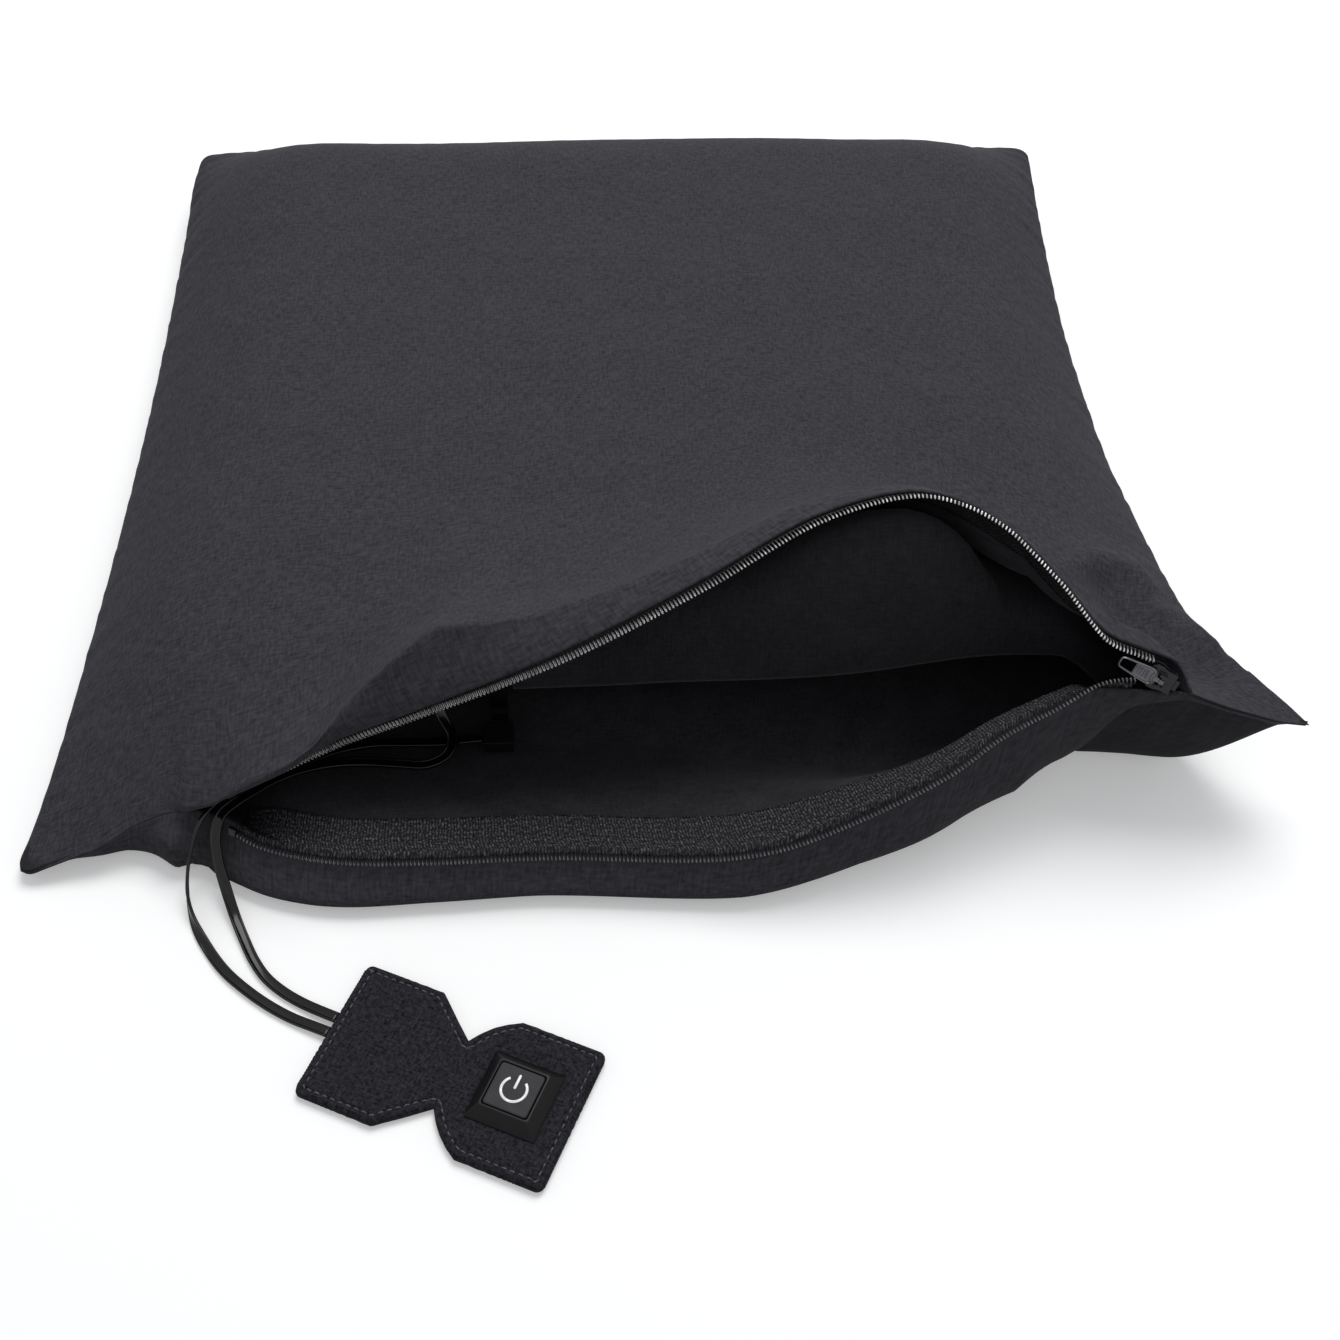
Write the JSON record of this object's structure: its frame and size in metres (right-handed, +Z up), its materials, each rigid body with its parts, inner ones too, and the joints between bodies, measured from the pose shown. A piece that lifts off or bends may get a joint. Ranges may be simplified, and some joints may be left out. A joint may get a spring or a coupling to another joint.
{
  "type": "heated seat cushion",
  "caption": "Square zipped cloth cushion lying open at the front, with a heated pad and battery pack inside and a folding cloth tab that carries a square power button on two flat cables.",
  "frame": {"origin": "on the floor, under the middle of the filled cushion", "axes": "+X to the right along the open front, +Y from the open front to the back seam, +Z up"},
  "size_m": [0.4937, 0.5733, 0.1167],
  "materials": {
    "cover_cloth": "tightly woven polyester, very dark grey, matt",
    "pad_cloth": "smooth black nonwoven, matt",
    "zip_tape": "woven black tape",
    "zip_coil": "black nylon coil",
    "zip_metal": "black painted zinc, satin",
    "tab_cloth": "tightly woven polyester, very dark grey, matt",
    "mat_felt": "grey needle felt",
    "heater_wire": "sleeved carbon wire",
    "moulded_black": "moulded black plastic, satin",
    "cell_foil": "laminated cell foil",
    "circuit_board": "green circuit board",
    "plain_steel": "plain steel",
    "cable_skin": "glossy black flat cable",
    "button_rubber": "soft charcoal moulding, satin",
    "light_guide": "clear white light guide"
  },
  "bodies": {
    "cushion": {"cover_top_panel": "cover_cloth", "cover_bottom_panel": "cover_cloth", "zip_tape_upper": "zip_tape", "zip_tape_lower": "zip_tape", "zip_coil_upper": "zip_coil", "zip_coil_lower": "zip_coil", "zip_top_stop_upper": "zip_coil", "zip_top_stop_lower": "zip_coil", "zip_slider_body": "zip_metal", "zip_coil_closed": "zip_coil", "zip_bottom_stop": "zip_coil", "filling_pad": "pad_cloth", "heating_mat": "mat_felt", "heating_wire": "heater_wire", "temperature_sensor": "moulded_black", "heater_lead": "cable_skin", "heater_connector": "moulded_black", "battery_sleeve": "pad_cloth", "battery_case_lower": "moulded_black", "battery_case_upper": "moulded_black", "battery_cell_left": "cell_foil", "battery_cell_right": "cell_foil", "battery_board": "circuit_board", "battery_socket": "plain_steel", "battery_plug": "moulded_black", "cable_heater": "cable_skin", "cable_battery": "cable_skin", "tab_cable_top_leaf": "tab_cloth", "tab_cable_bottom_leaf": "tab_cloth", "tab_cable_clamp": "moulded_black", "tab_cable_stiffener": "mat_felt", "tab_ribbon_cable_side": "cable_skin"},
    "zip_pull": {"zip_pull_tab": "zip_metal"},
    "tab_button_half": {"tab_button_top_leaf": "tab_cloth", "tab_button_bottom_leaf": "tab_cloth", "tab_button_stiffener": "mat_felt", "tab_ribbon_button_side": "cable_skin", "button_base_plate": "moulded_black", "button_bezel": "button_rubber", "button_board": "circuit_board", "tact_switch": "moulded_black", "indicator_led": "light_guide", "button_screw_1": "plain_steel", "button_screw_2": "plain_steel", "button_screw_3": "plain_steel", "button_screw_4": "plain_steel"},
    "button_cap": {"button_cap": "button_rubber", "button_light_guide": "light_guide", "switch_plunger": "plain_steel"}
  },
  "joints": [
    {"name": "zip_pull_swing", "type": "hinge", "parent": "cushion", "child": "zip_pull", "pos_m": [0.20264, -0.19163, 0.07192], "axis": [0.4086, 0.3413, 0.8465], "range_deg": [0, 165]},
    {"name": "tab_fold", "type": "hinge", "parent": "cushion", "child": "tab_button_half", "pos_m": [-0.057, -0.3105, 0.0044], "axis": [-0.3955, -0.9184, 0], "range_deg": [0, 120]},
    {"name": "button_press", "type": "slide", "parent": "tab_button_half", "child": "button_cap", "axis": [0, 0, -1], "range_m": [0, 0.0008], "stiffness_N_per_m": 800}
  ]
}
